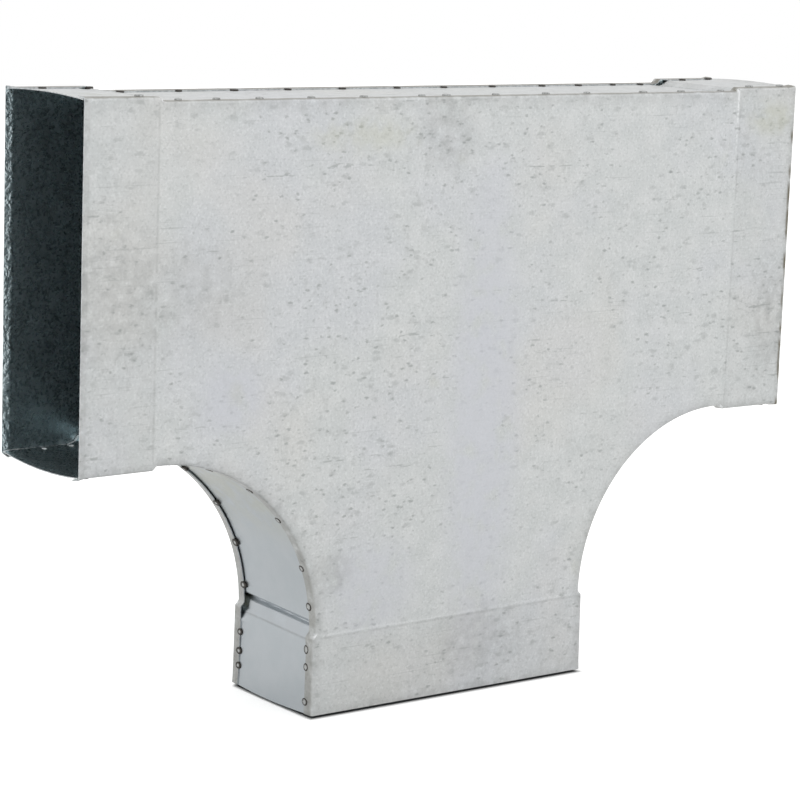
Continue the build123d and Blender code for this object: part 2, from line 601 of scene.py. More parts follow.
@dataclass(frozen=True)
class Lap:
    """How the turned edges of one cheek lie on the strips under them."""

    sizes: TeeSizes
    side: CheekSide
    spring: float = 0.5
    heel_spring: float = 0.12
    joggle_spring: float = 0.7
    collar_spring: float = 1.4
    joggle_reach: float = 9.0
    unevenness: float = 11.0
    closed_length: float = 12.0
    closing_length: float = 20.0
    settling_length: float = 8.0
    arc_closing: float = 0.7
    # Steps in the noise that keep the laps from being alike
    side_lane: float = 7.0
    seam_lane: float = 5.0

    def stand_off(self, seam: Seam, length: float) -> float:
        """How far the free edge of a lap stands off its strip, over the plain gap between them.

        Args:
            seam: the turned edge.
            length: place along the seam.

        Returns:
            The stand-off in millimetres, below zero where the lap lies down on the strip.
        """
        s = self.sizes
        lanes = (self.side.value * self.side_lane, seam.path.value * self.seam_lane)
        uneven = noise.noise(Vector((length / self.unevenness, *lanes)))
        if seam.path is SeamPath.HEEL:
            if self.side is CheekSide.FRONT:
                return self.heel_spring * uneven
            from_mouth = min(length, seam.length - length)
            sprung = self.joggle_spring * hump(from_mouth - s.collar_length, self.joggle_reach)
            return self.heel_spring * max(0.0, uneven) + sprung - s.lap_gap
        arc_share = clamp((length - seam.lead) / seam.arc)
        from_mouth = seam.length - length
        on_collar = ease((s.collar_length - from_mouth) / self.settling_length)
        opening = ease((from_mouth - self.closed_length) / self.closing_length)
        lying = self.collar_spring * max(0.0, uneven) * opening - s.lap_gap
        standing = self.spring * (1.0 - self.arc_closing * arc_share)
        return (1.0 - on_collar) * standing + on_collar * lying

    def lift(self, point: Vector) -> Vector:
        """Move of a point of a lap away from its plain place, growing from the fold to the free edge.

        Args:
            point: place on the plain folded lap.

        Returns:
            The move, along the outward direction.
        """
        s = self.sizes
        seam = nearest_seam(s, point)
        length = seam.along(point)
        share = (s.half_depth - abs(point.y) - s.fold_radius) / (s.lap_width - s.fold_radius)
        return seam.at(length)[1] * max(0.0, share) * self.stand_off(seam, length)


Layer = tuple[NodeSocket, str]


@dataclass(frozen=True)
class Patches:
    """A field of irregular soft-edged patches.

    The size is in millimetres. The limits are the noise levels where a patch begins and where it is full,
    most is the share inside a full patch, stretch is how many times longer the patches are along X, and shift
    is an offset in metres that sets one field apart from another.
    """

    size: float
    limits: tuple[float, float]
    most: float = 1.0
    stretch: float = 1.0
    shift: float = 0.0

    def share(self, tree: NodeTree, place: NodeSocket) -> NodeSocket:
        """Makes the share, from 0 to 1, of the patches.

        Args:
            tree: node tree that gets the nodes.
            place: coordinates of the surface.

        Returns:
            The output that holds the share.
        """
        drawn = {"Vector": place, "Location": (self.shift,) * 3, "Scale": (1 / self.stretch, 1.0, 1.0)}
        drawn = add_node(tree, "Mapping", drawn).outputs[0]
        field = {"Vector": drawn, "Scale": per_metre(self.size), "Detail": 2.0}
        field = add_node(tree, "TexNoise", field).outputs[0]
        spread = {0: field, 1: self.limits[0], 2: self.limits[1], 4: self.most}
        return add_node(tree, "MapRange", spread, interpolation_type="SMOOTHSTEP").outputs[0]


@dataclass(frozen=True)
class Dots:
    """Small ragged dots, wider than high and scattered one to a cell.

    The pitch of the cells and the radius are in millimetres. Chosen is the share of the cells that have a
    dot, width is how many times wider than high it is, raggedness is how far its border strays in radii, and
    core is the share of the radius that is full.
    """

    pitch: float
    radius: float
    chosen: float
    width: float = 2.0
    raggedness: float = 1.6
    core: float = 0.3

    def share(self, tree: NodeTree, place: NodeSocket) -> NodeSocket:
        """Makes the share, from 0 to 1, of the dots.

        Args:
            tree: node tree that gets the nodes.
            place: coordinates of the surface.

        Returns:
            The output that holds the share.
        """
        wide = add_node(tree, "Mapping", {"Vector": place, "Scale": (1 / self.width, 1.0, 1.0)}).outputs[0]
        ragged = {"Vector": wide, "Scale": per_metre(self.radius)}
        ragged = add_node(tree, "TexNoise", ragged).outputs["Color"]
        moved = {0: ragged, 1: (self.raggedness * self.radius * MM,) * 3, 2: wide}
        moved = add_node(tree, "VectorMath", moved, operation="MULTIPLY_ADD").outputs[0]
        cells = add_node(tree, "TexVoronoi", {"Vector": moved, "Scale": per_metre(self.pitch)}).outputs
        reach = self.radius / self.pitch
        near = {0: cells["Distance"], 1: reach, 2: self.core * reach}
        near = add_node(tree, "MapRange", near, interpolation_type="SMOOTHSTEP").outputs[0]
        draw = add_node(tree, "SeparateColor", {0: cells["Color"]}).outputs[0]
        taken = add_node(tree, "Math", {0: draw, 1: self.chosen}, operation="LESS_THAN").outputs[0]
        return both(tree, near, taken)


def both(tree: NodeTree, *shares: NodeSocket) -> NodeSocket:
    """Multiplies shares, so that only the places which all of them cover stay."""
    product = shares[0]
    for share in shares[1:]:
        product = add_node(tree, "Math", {0: product, 1: share}, operation="MULTIPLY").outputs[0]
    return product


def lay_coats(tree: NodeTree, ground: str, coats: list[Layer]) -> NodeSocket:
    """Lays coats of colour over each other.

    Args:
        tree: node tree that gets the nodes.
        ground: colour under all the coats.
        coats: share and tint of each coat, from the lowest up.

    Returns:
        The output that holds the colour.
    """
    colour = linear(ground)
    for share, tint in coats:
        layer = {MIX_FACTOR: share, MIX_A: colour, MIX_B: linear(tint)}
        colour = add_node(tree, "Mix", layer, data_type="RGBA").outputs[MIX_RESULT]
    return colour


def attribute(tree: NodeTree, name: str) -> NodeSocket:
    """Share that a piece's vertices carry under a name."""
    return add_node(tree, "Attribute", attribute_name=name).outputs["Fac"]


def blank_material(name: str) -> tuple[Material, NodeTree, Node]:
    """Makes a plain material, and gives its node tree and its shader too."""
    material = bpy.data.materials.new(name)
    material.use_nodes = True
    tree = material.node_tree
    return material, tree, tree.nodes["Principled BSDF"]


@dataclass(frozen=True)
class GalvanisedSheet:
    """Steel sheet with a hot-dip zinc coat, matt from storing and handling or still fresh."""

    name: str
    light: str
    shade: str
    roughness: float
    stored: bool = False
    handled: bool = True
    frost: float = 0.03
    bump_height: float = 0.02
    lip_relief: float = 0.0
    # Painted highlight: how white and matt the glints and the inner seam lines turn
    glint_white: float = 0.8
    cool: str = "#C6C8D0"
    warm: str = "#CECCC8"
    stain: str = "#B9BAA4"
    speck: str = "#969A99"
    # Tint of the smudges, of the darker borders and of painted shade
    dull_and_shade: str = "#8E8F8E"
    # Tint of welded laps, and of painted shade on the heel's fold and in the strips' pockets
    lap_tint_and_shade: str = "#777368"
    # Pale tint of the light flecks, and of the painted highlights
    bare_and_glint: str = "#EEF0F1"
    # The coat itself; its crystals are too fine to show, so the grain and its flecks are drawn coarser
    mottle: Patches = Patches(15.0, (0.3, 0.7))
    grain: Patches = Patches(1.7, (0.3, 0.7))
    flecks: Patches = Patches(1.7, (0.45, 0.75), 0.26, shift=0.2)
    shades: Patches = Patches(1.7, (0.50, 0.75), 0.26, shift=0.4)
    dents: Patches = Patches(3.4, (0.3, 0.7))
    # Clouds as large as a hand, and the rolling lines of the mill
    cool_clouds: Patches = Patches(95.0, (0.46, 0.64), 0.30)
    warm_clouds: Patches = Patches(95.0, (0.50, 0.68), 0.35, shift=0.5)
    stain_clouds: Patches = Patches(47.5, (0.68, 0.78), 0.30, shift=0.9)
    lines: Patches = Patches(1.1, (0.62, 0.78), 0.3, stretch=45.0)
    # Specks, spots and scuffs of storing, each with the places where they gather
    region: Patches = Patches(66.5, (0.28, 0.54))
    blotches: Patches = Patches(7.5, (0.54, 0.72), 0.24)
    specks: Dots = Dots(3.6, 1.25, 0.75)
    speck_groups: Patches = Patches(7.5, (0.44, 0.56), 0.68)
    spots: Dots = Dots(7.0, 2.3, 0.60)
    spot_groups: Patches = Patches(60.0, (0.30, 0.55), 0.34)
    strays: Dots = Dots(14.0, 1.2, 0.35)
    stray_groups: Patches = Patches(40.0, (0.2, 0.5), 0.8)
    scuff_rows: Patches = Patches(3.68, (0.64, 0.71), 0.55, stretch=40.0)
    scuff_dashes: Patches = Patches(2.3, (0.50, 0.60), stretch=3.0, shift=0.3)
    scuff_groups: Patches = Patches(47.5, (0.46, 0.58), shift=0.7)
    # What breaks up the worn places, painted shade and painted highlights that the pieces carry
    bloom_break: Patches = Patches(15.0, (0.25, 0.55), 0.6)
    stain_break: Patches = Patches(15.0, (0.30, 0.60), 0.5)
    smudge_break: Patches = Patches(7.5, (0.25, 0.60), 0.30)
    edge_break: Patches = Patches(7.5, (0.2, 0.6), 0.35)
    lap_break: Patches = Patches(7.5, (0.05, 0.55))
    glint_break: Patches = Patches(2.3, (0.36, 0.52))
    seam_glint_break: Patches = Patches(7.5, (0.25, 0.55), 0.9)

    def marks(self, tree: NodeTree, place: NodeSocket) -> list[Layer]:
        """Draws what storing and handling leave on the coat, from clouds and grain up to specks and scuffs.

        Args:
            tree: node tree that gets the nodes.
            place: coordinates of the surface.

        Returns:
            Each mark's share and its tint, from the lowest up.
        """

        def drawn(*fields: Patches | Dots) -> NodeSocket:
            """Share of the places that all the fields cover."""
            return both(tree, *(field.share(tree, place) for field in fields))

        return [
            (drawn(self.cool_clouds), self.cool),
            (drawn(self.warm_clouds), self.warm),
            (drawn(self.stain_clouds), self.stain),
            (drawn(self.flecks), self.bare_and_glint),
            (drawn(self.shades), self.speck),
            (drawn(self.blotches, self.region), self.speck),
            (drawn(self.lines), self.speck),
            (drawn(self.scuff_rows, self.scuff_dashes, self.scuff_groups), self.speck),
            (drawn(self.strays, self.stray_groups), self.speck),
            (drawn(self.spots, self.spot_groups), self.speck),
            (drawn(self.specks, self.speck_groups, self.region), self.speck),
        ]

    def wear(self, tree: NodeTree, place: NodeSocket) -> list[Layer]:
        """Draws the worn places, painted shade and painted highlights that a piece carries.

        Outside these are bloom, stains, smudges, a darker border and collars, painted shade in the creases,
        on the lips and ramps and under the run, laps darkened by welding with painted shade on the heel's
        fold and in the strips' pockets, and worn-bright corners as painted highlights; inside the duct it is
        the pale broken line along the seams, a painted highlight.

        Args:
            tree: node tree that gets the nodes.
            place: coordinates of the surface.

        Returns:
            Each layer's share and its tint, from the lowest up.
        """
        outside = (
            ("bloom", self.bloom_break, self.cool),
            ("stain", self.stain_break, self.stain),
            ("smudge", self.smudge_break, self.dull_and_shade),
            # darker border and collars, and painted shade in creases, on lips and ramps and under the run
            ("edge", self.edge_break, self.dull_and_shade),
            # darkened by welding, with painted shade on the heel's fold and in the strips' pockets
            ("lap", self.lap_break, self.lap_tint_and_shade),
            # painted highlights, drawn as worn-bright zinc, on the crease and the fold corners
            ("rub", self.glint_break, self.bare_and_glint),
        )
        # inside, the pale seam line is a painted highlight
        inside = (("seam", self.seam_glint_break, self.bare_and_glint),)
        return [
            (both(tree, attribute(tree, name), broken.share(tree, place)), tint)
            for name, broken, tint in (outside if self.handled else inside)
        ]

    def material(self) -> Material:
        """Builds the coat from its fine crystals up to the marks of storing and handling.

        The eye sees a pale, nearly matt grey with a faint grain, cool and warm clouds, smudges and stains,
        loose groups of small dark specks, a few rows of scuffs and thin rolling lines. Ridges and fold
        corners carry painted highlights of worn-bright zinc, and creases, lips, ramps, pockets and the heel's
        fold carry painted shade, and inside the seams a painted highlight. The turned edges are dulled and
        warmer where they were welded.

        Returns:
            The finished material.
        """
        material, tree, shader = blank_material(self.name)
        place = add_node(tree, "TexCoord").outputs["Object"]
        grain = self.grain.share(tree, place)
        coats = [(self.mottle.share(tree, place), self.light)]
        coats += self.marks(tree, place) if self.stored else []
        coats += self.wear(tree, place)
        tree.links.new(lay_coats(tree, self.shade, coats), shader.inputs["Base Color"])
        # painted highlight: the last coat, the glints outside or the seam line inside, turns white and matt
        rubbed_glint = coats[-1][0]
        matt = add_node(tree, "MapRange", {0: rubbed_glint, 3: 1.0, 4: 1.0 - self.glint_white})
        tree.links.new(matt.outputs[0], shader.inputs["Metallic"])

        frosted = {0: grain, 3: self.roughness - self.frost, 4: self.roughness + self.frost}
        tree.links.new(add_node(tree, "MapRange", frosted).outputs[0], shader.inputs["Roughness"])
        hammered = both(tree, attribute(tree, "lip"), self.dents.share(tree, place))
        relief = {0: hammered, 1: self.lip_relief / self.bump_height, 2: grain}
        relief = add_node(tree, "Math", relief, operation="MULTIPLY_ADD").outputs[0]
        bump = {"Height": relief, "Distance": self.bump_height * MM}
        tree.links.new(add_node(tree, "Bump", bump).outputs[0], shader.inputs["Normal"])
        return material


@dataclass(frozen=True)
class ShearedEdge:
    """Raw steel where the sheet was sheared, with the zinc smeared over it in streaks."""

    steel: str = "#B2B6B8"
    zinc: str = "#D2D5D6"
    streak_size: float = 2.5
    smear: tuple[float, float] = (0.40, 0.60)
    roughness: float = 0.38

    def material(self) -> Material:
        """Builds the edge: a thin line that goes from dull steel to bright zinc along its length."""
        material, tree, shader = blank_material("galvanised_steel_sheared")
        place = add_node(tree, "TexCoord").outputs["Object"]
        streak = {"Vector": place, "Scale": per_metre(self.streak_size), "Detail": 3.0}
        streak = add_node(tree, "TexNoise", streak).outputs[0]
        smear = add_node(tree, "MapRange", {0: streak, 1: self.smear[0], 2: self.smear[1]}).outputs[0]
        tree.links.new(lay_coats(tree, self.steel, [(smear, self.zinc)]), shader.inputs["Base Color"])
        shader.inputs["Metallic"].default_value = 1.0
        shader.inputs["Roughness"].default_value = self.roughness
        return material


@dataclass(frozen=True)
class WeldSpot:
    """Spot weld in zinc-coated steel, pressed by a round electrode."""

    burnt: str = "#4C4946"
    zinc: str = "#B9BBBA"
    straw: str = "#A8966C"
    # Painted highlight: the pale matt dome inside the duct stands in for its glint
    bloom: str = "#F2F3F3"
    grain_size: float = 1.2
    raggedness: float = 0.5
    ring: tuple[float, float] = (0.58, 0.98)
    nugget_shine: float = 0.1
    roughness: float = 0.45

    def material(self) -> Material:
        """Builds the spot: a dark burnt ring round a centre that is pale, or straw where it ran hot, and a
        pale matt inner dome as a painted highlight.
        """
        material, tree, shader = blank_material("galvanised_steel_spot_welded")
        place = add_node(tree, "TexCoord").outputs["Object"]
        spread, heat, nugget = (attribute(tree, name) for name in ("spread", "heat", "nugget"))
        grain = {"Vector": place, "Scale": per_metre(self.grain_size), "Detail": 2.0}
        grain = add_node(tree, "TexNoise", grain).outputs[0]
        uneven = {0: grain, 1: self.raggedness, 2: spread}
        uneven = add_node(tree, "Math", uneven, operation="MULTIPLY_ADD").outputs[0]
        ring = {0: uneven, 1: self.ring[0], 2: self.ring[1]}
        ring = add_node(tree, "MapRange", ring, interpolation_type="SMOOTHSTEP").outputs[0]
        coats = [(heat, self.straw), (ring, self.burnt), (nugget, self.bloom)]
        tree.links.new(lay_coats(tree, self.zinc, coats), shader.inputs["Base Color"])
        matt = add_node(tree, "MapRange", {0: nugget, 3: 1.0, 4: self.nugget_shine})
        tree.links.new(matt.outputs[0], shader.inputs["Metallic"])
        shader.inputs["Roughness"].default_value = self.roughness
        return material


@dataclass(frozen=True)
class Finishes:
    """The materials that the pieces share."""

    stored: Material
    clean: Material
    inside: Material
    edge: Material
    weld: Material

    @classmethod
    def mixed(cls) -> "Finishes":
        """Builds each material once."""
        stored = GalvanisedSheet("galvanised_steel_stored", "#CED0D0", "#C6C9C9", 0.36, stored=True)
        # Painted shade: the throat strips get a darker, bluer copy of the zinc, for fresher zinc and for the
        # duller light under the run
        clean = GalvanisedSheet("galvanised_steel_clean", "#BBC0C4", "#B7BDC1", 0.34, bump_height=0.006)
        inside = GalvanisedSheet(
            "galvanised_steel_bright",
            "#CEDADD",
            "#BCC8CB",
            0.28,
            handled=False,
            frost=0.04,
            bump_height=0.009,
            lip_relief=0.25,
        )
        sheets = (kind.material() for kind in (stored, clean, inside))
        return cls(*sheets, ShearedEdge().material(), WeldSpot().material())


def show_piece(bm: BMesh, name: str, materials: list[Material], replaced: str | None = None) -> Object:
    """Turns a finished bmesh in millimetres into a piece of the tee.

    Args:
        bm: the mesh, which is freed.
        name: name of the piece.
        materials: its material slots in order.
        replaced: name of the solid that the piece stands for, if any.

    Returns:
        The piece, riding on the tee's one body.
    """
    bmesh.ops.scale(bm, vec=(MM, MM, MM), verts=bm.verts[:])
    for face in bm.faces:
        face.smooth = True
    mesh = bpy.data.meshes.new(name)
    bm.to_mesh(mesh)
    bm.free()
    for material in materials:
        mesh.materials.append(material)
    piece = bpy.data.objects.new(name, mesh)
    bpy.context.scene.collection.objects.link(piece)
    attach(piece, "root")
    if replaced:
        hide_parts(replaced)
    LOG.info("%s: %d faces", name, len(mesh.polygons))
    return piece


def give_thickness(piece: Object, sheet: float, edge_round: float = 0.12, edge_angle: float = 50.0) -> None:
    """Makes a skin into sheet of its real thickness with slightly rounded sheared edges.

    Args:
        piece: the skin, whose faces point out of the duct.
        sheet: thickness in millimetres, which goes inwards.
        edge_round: width of the rounding.
        edge_angle: angle in degrees from which an edge counts as sheared.
    """
    wall = piece.modifiers.new("sheet_wall", "SOLIDIFY")
    wall.thickness = sheet * MM
    wall.offset = -1.0
    wall.use_even_offset = True
    wall.material_offset = 2
    wall.material_offset_rim = 1
    rounding = piece.modifiers.new("sheared_edge", "BEVEL")
    rounding.width = edge_round * MM
    rounding.segments = 2
    rounding.limit_method = "ANGLE"
    rounding.angle_limit = radians(edge_angle)
    rounding.harden_normals = True


def show_sheet(bm: BMesh, name: str, outside: Material, finishes: Finishes, sheet: float) -> Object:
    """Turns a finished skin into the sheet that stands for a solid.

    Args:
        bm: the skin in millimetres, whose faces point out of the duct.
        name: name of the solid.
        outside: material of the skin.
        finishes: the shared materials.
        sheet: thickness in millimetres.

    Returns:
        The finished piece.
    """
    piece = show_piece(bm, f"{name}_sheet", [outside, finishes.edge, finishes.inside], name)
    give_thickness(piece, sheet)
    return piece


def sweep_throat(bm: BMesh, sizes: TeeSizes, y: float, top: float, steps: int) -> tuple[BMVert, BMVert]:
    """Draws the quarter round of the right throat.

    Args:
        bm: mesh that gets the arc.
        sizes: sizes of the tee.
        y: the arc's place in the depth.
        top: height of its upper end.
        steps: number of its chords.

    Returns:
        Its upper and its lower end.
    """
    arc_top = bm.verts.new((sizes.throat_x, y, top))
    centre = (sizes.throat_x, y, sizes.throat_z)
    swept = bmesh.ops.spin(bm, geom=[arc_top], cent=centre, axis=DEPTH, angle=-pi / 2, steps=steps)
    arc_foot = next(g for g in swept["geom_last"] if isinstance(g, BMVert))
    return arc_top, arc_foot


def extrude_row(bm: BMesh, row: list[BMEdge], travel: float) -> list[BMEdge]:
    """Grows a row of edges through the depth by one row of faces.

    Args:
        bm: mesh that gets the faces.
        row: edges to grow from.
        travel: distance along Y.

    Returns:
        The edges of the new row.
    """
    grown = bmesh.ops.extrude_edge_only(bm, edges=row)["geom"]
    moved = [g for g in grown if isinstance(g, BMVert)]
    bmesh.ops.translate(bm, verts=moved, vec=DEPTH * travel)
    edges = [g for g in grown if isinstance(g, BMEdge)]
    return [e for e in edges if abs(e.verts[0].co.y - e.verts[1].co.y) < FINE_SNAP]


@dataclass
class Cheek:
    """A T-shaped broad plate with its edges turned over the strips."""

    sizes: TeeSizes
    swage: Swage
    side: CheekSide
    arc_cuts: int = 44
    edge_pitch: float = 7.0
    fold_segments: int = 5
    face_pitch: float = 6.0
    # Waves of the broad face, which die out towards its border and differ from plate to plate
    waviness: float = 0.2
    wave_length: float = 150.0
    wave_border: float = 45.0
    side_lane: float = 500.0
    # Dulling of the turned edges, heaviest on the heel where it is also painted shade on the fold, and dark
    # nicks along the right rim
    heel_dulling_and_shade: float = 0.85
    throat_dulling: float = 0.32
    collar_dulling: float = 0.34
    rear_lap_share: float = 0.62
    nick_width: float = 1.3
    nick_length: float = 7.0
    nick_level: float = -0.05
    # Darkening of the broad face along its border and on the collars, and painted shade inside the creases
    # and at the left lip
    dull_width: float = 8.0
    run_collar_dulling: float = 0.24
    branch_collar_dulling: float = 0.18
    crease_shade: float = 0.8
    crease_setback: float = 1.9
    crease_width: float = 1.5
    lip_shade: float = 1.4
    lip_line: float = 1.2
    lip_fullness: float = 3.0
    # Painted highlights, drawn as worn-bright zinc, on the right crease and on the fold where it crosses a
    # joggle
    glint_length: float = 60.0
    glint_width: float = 1.2
    corner_setback: float = 2.0
    corner_width: float = 2.2
    corner_depth: float = 0.8
    corner_reach: float = 1.2
    corner_fullness: float = 2.0

    @property
    def name(self) -> str:
        """Name of the solid that the plate stands for."""
        return f"{self.side.name.lower()}_cheek"

    def build(self, finishes: Finishes) -> Object:
        """Cuts, folds and presses the plate.

        Args:
            finishes: the shared materials.

        Returns:
            The finished piece.
        """
        bm = bmesh.new()
        self.lay_blank(bm)
        self.swage.cut(bm, mirrored=False)
        self.turn_edges(bm)
        self.grid_face(bm)
        self.open_out(bm)
        self.press(bm)
        return show_sheet(bm, self.name, finishes.stored, finishes, self.sizes.sheet)

    def lay_blank(self, bm: BMesh) -> None:
        """Draws the right half of the flat T and fills it as one face."""
        s = self.sizes
        y = -s.half_depth
        arc_top, arc_foot = sweep_throat(bm, s, y, s.run_bottom, self.arc_cuts)
        corners = [
            (s.run_half_length, s.run_bottom),
            (s.run_half_length, s.run_top),
            (0.0, s.run_top),
            (0.0, 0.0),
            (s.half_height, 0.0),
        ]
        chain = [arc_top] + [bm.verts.new((x, y, z)) for x, z in corners] + [arc_foot]
        for start, end in zip(chain, chain[1:]):
            bm.edges.new((start, end))
        bmesh.ops.edgenet_fill(bm, edges=bm.edges[:])
        for face in bm.faces:
            if face.normal.y > 0:
                face.normal_flip()

    def turned(self, bm: BMesh) -> list[BMEdge]:
        """The blank's edges along the heel and the throat, which are folded over."""
        s = self.sizes

        def is_turned(edge: BMEdge) -> bool:
            """Whether an edge is on the rim but not on a mouth or on the middle line."""
            a, b = (v.co for v in edge.verts)
            at_run_mouth = min(a.x, b.x) > s.run_half_length - SNAP
            at_branch_mouth = max(a.z, b.z) < SNAP
            at_middle = max(a.x, b.x) < SNAP
            return edge.is_boundary and not (at_run_mouth or at_branch_mouth or at_middle)

        return [edge for edge in bm.edges if is_turned(edge)]

    def turn_edges(self, bm: BMesh) -> None:
        """Divides the long edges, folds the laps back in two rows and rounds the folds."""
        s = self.sizes
        for edge in self.turned(bm):
            cuts = int(edge.calc_length() / self.edge_pitch)
            if cuts:
                bmesh.ops.subdivide_edges(bm, edges=[edge], cuts=cuts)
        folds = self.turned(bm)
        row = folds
        for depth in ((s.lap_width + s.fold_radius) / 2, (s.lap_width - s.fold_radius) / 2):
            row = extrude_row(bm, row, depth)
        bmesh.ops.bevel(
            bm,
            geom=folds,
            offset=s.fold_radius,
            offset_type="OFFSET",
            segments=self.fold_segments,
            profile=0.5,
            affect="EDGES",
            material=-1,
            clamp_overlap=False,
        )

    def grid_face(self, bm: BMesh) -> None:
        """Divides the broad face so that it can wave a little, as thin sheet does, and carry its wear."""
        s = self.sizes
        mark = bm.faces.layers.int.new("broad")
        for face in bm.faces:
            face[mark] = max(vert.co.y for vert in face.verts) < SNAP - s.half_depth
        for axis, reach in ((ALONG, s.run_half_length), (UP, s.run_top)):
            for cut in range(1, int(reach / self.face_pitch) + 1):
                place = axis * cut * self.face_pitch
                faces = [face for face in bm.faces if face[mark]]
                geom = {g for face in faces for g in (*face.verts, *face.edges)} | set(faces)
                bmesh.ops.bisect_plane(bm, geom=list(geom), dist=SNAP, plane_co=place, plane_no=axis)

    def open_out(self, bm: BMesh) -> None:
        """Mirrors the half plate, turns it to its own side and points its faces out of the duct."""
        geom = bm.verts[:] + bm.edges[:] + bm.faces[:]
        bmesh.ops.mirror(bm, geom=geom, matrix=Matrix.Identity(4), merge_dist=SNAP, axis="X")
        bmesh.ops.remove_doubles(bm, verts=bm.verts[:], dist=SNAP)
        if self.side is CheekSide.REAR:
            bmesh.ops.scale(bm, vec=(1, -1, 1), verts=bm.verts[:])
        bmesh.ops.recalc_face_normals(bm, faces=bm.faces[:])
        widest = max(bm.faces, key=lambda face: face.calc_area())
        if widest.normal.y * self.side.value < 0:
            bmesh.ops.reverse_faces(bm, faces=bm.faces[:])

    def press(self, bm: BMesh) -> None:
        """Opens the sockets, waves the panel, springs the laps off the strips and marks worn places, painted
        shade and painted highlights.
        """
        s = self.sizes
        laps = Lap(s, self.side)
        names = ["rub", "lap", "edge", "lip"] + [kind.value for kind in BlotKind]
        for name in names:
            bm.verts.layers.float.new(name)
        worn = {name: bm.verts.layers.float[name] for name in names}
        for vert in bm.verts:
            plain = vert.co.copy()
            from_face = s.half_depth - abs(plain.y)
            _, from_mouth = self.swage.from_mouth(plain)
            vert.co = self.swage.press(plain, self.swage.turned_edge_step)
            if from_face < SNAP:
                lane = Vector((plain.x, self.side.value * self.side_lane, plain.z))
                wave = noise.noise(lane / self.wave_length)
                vert.co.y += self.waviness * ease(s.inside(plain) / self.wave_border) * wave
            vert.co += laps.lift(plain)
            vert[worn["lap"]] = self.lap_dulling(plain, from_mouth)
            vert[worn["lip"]] = hump(from_mouth, s.lip_length, self.lip_fullness)
            vert[worn["edge"]] = self.face_dulling_and_shade(plain, from_mouth)
            # painted highlights on the right crease and the fold corners
            vert[worn["rub"]] = self.rubbed_glint(plain, from_mouth)
            for kind in BlotKind:
                marks = [b.share(-self.side.value * plain.x, plain.z) for b in BLOTS if b.kind is kind]
                vert[worn[kind.value]] = max(marks) if from_face < s.fold_radius else 0.0

    def lap_dulling(self, point: Vector, from_mouth: float) -> float:
        """Share of zinc darkened by welding on a turned edge, with painted shade on the heel's fold, or by a
        nick in the right rim.

        Args:
            point: place on the plain folded cheek.
            from_mouth: its distance from the nearest mouth.

        Returns:
            The share, from 0 to 1.
        """
        s = self.sizes
        at_right_rim = point.x > s.run_half_length - self.nick_width
        if at_right_rim and noise.noise(point / self.nick_length) > self.nick_level:
            return 1.0
        dulling = self.throat_dulling if from_mouth > s.collar_length else self.collar_dulling
        if nearest_seam(s, point).path is SeamPath.HEEL:
            # painted shade: the heel's fold and lap are darkened most
            dulling = self.heel_dulling_and_shade
        elif self.side is CheekSide.REAR and from_mouth > s.collar_length:
            dulling *= self.rear_lap_share
        return dulling * ease((s.half_depth - abs(point.y)) / s.fold_radius)

    def face_dulling_and_shade(self, point: Vector, from_mouth: float) -> float:
        """Share of darkening on the broad face: along its border and on the collars, and painted shade in the
        creases and at the left lip.

        Args:
            point: place on the plain folded cheek.
            from_mouth: its distance from the nearest mouth.

        Returns:
            The share, which may go past 1 where the dulling is heavy.
        """
        s = self.sizes
        off_crease = from_mouth - self.swage.crease_place + self.crease_setback
        # painted shade in the crease of the joggle
        crease_in_shade = self.crease_shade * hump(off_crease, self.crease_width)
        at_border = ease(1.0 - min(from_mouth, s.from_fold(point)) / self.dull_width)
        collar_darkening = self.branch_collar_dulling if point.z < s.collar_length else self.run_collar_dulling
        on_collar = collar_darkening * ease(s.collar_length - from_mouth)
        on_left_run = point.x < -s.throat_x
        # painted shade on the flared left lip
        lip_in_shade = self.lip_shade * on_left_run * hump(from_mouth - s.lip_length / 2, self.lip_line)
        return max(crease_in_shade, at_border, on_collar, lip_in_shade)

    def rubbed_glint(self, point: Vector, from_mouth: float) -> float:
        """Share of painted highlight, drawn as worn-bright zinc: on the right joggle near the heel, and where
        a fold crosses a joggle.

        Args:
            point: place on the plain folded cheek.
            from_mouth: its distance from the nearest mouth.

        Returns:
            The share, from 0 to 1.
        """
        s = self.sizes
        from_face = s.half_depth - abs(point.y)
        if from_face < SNAP:
            crest = hump(from_mouth - self.swage.crease_place, self.glint_width)
            return crest * hump(s.run_top - point.z, self.glint_length) if point.x > 0 else 0.0
        corner = hump(from_mouth - s.socket_length + self.corner_setback, self.corner_width)
        return corner * hump(from_face - self.corner_depth, self.corner_reach, self.corner_fullness)


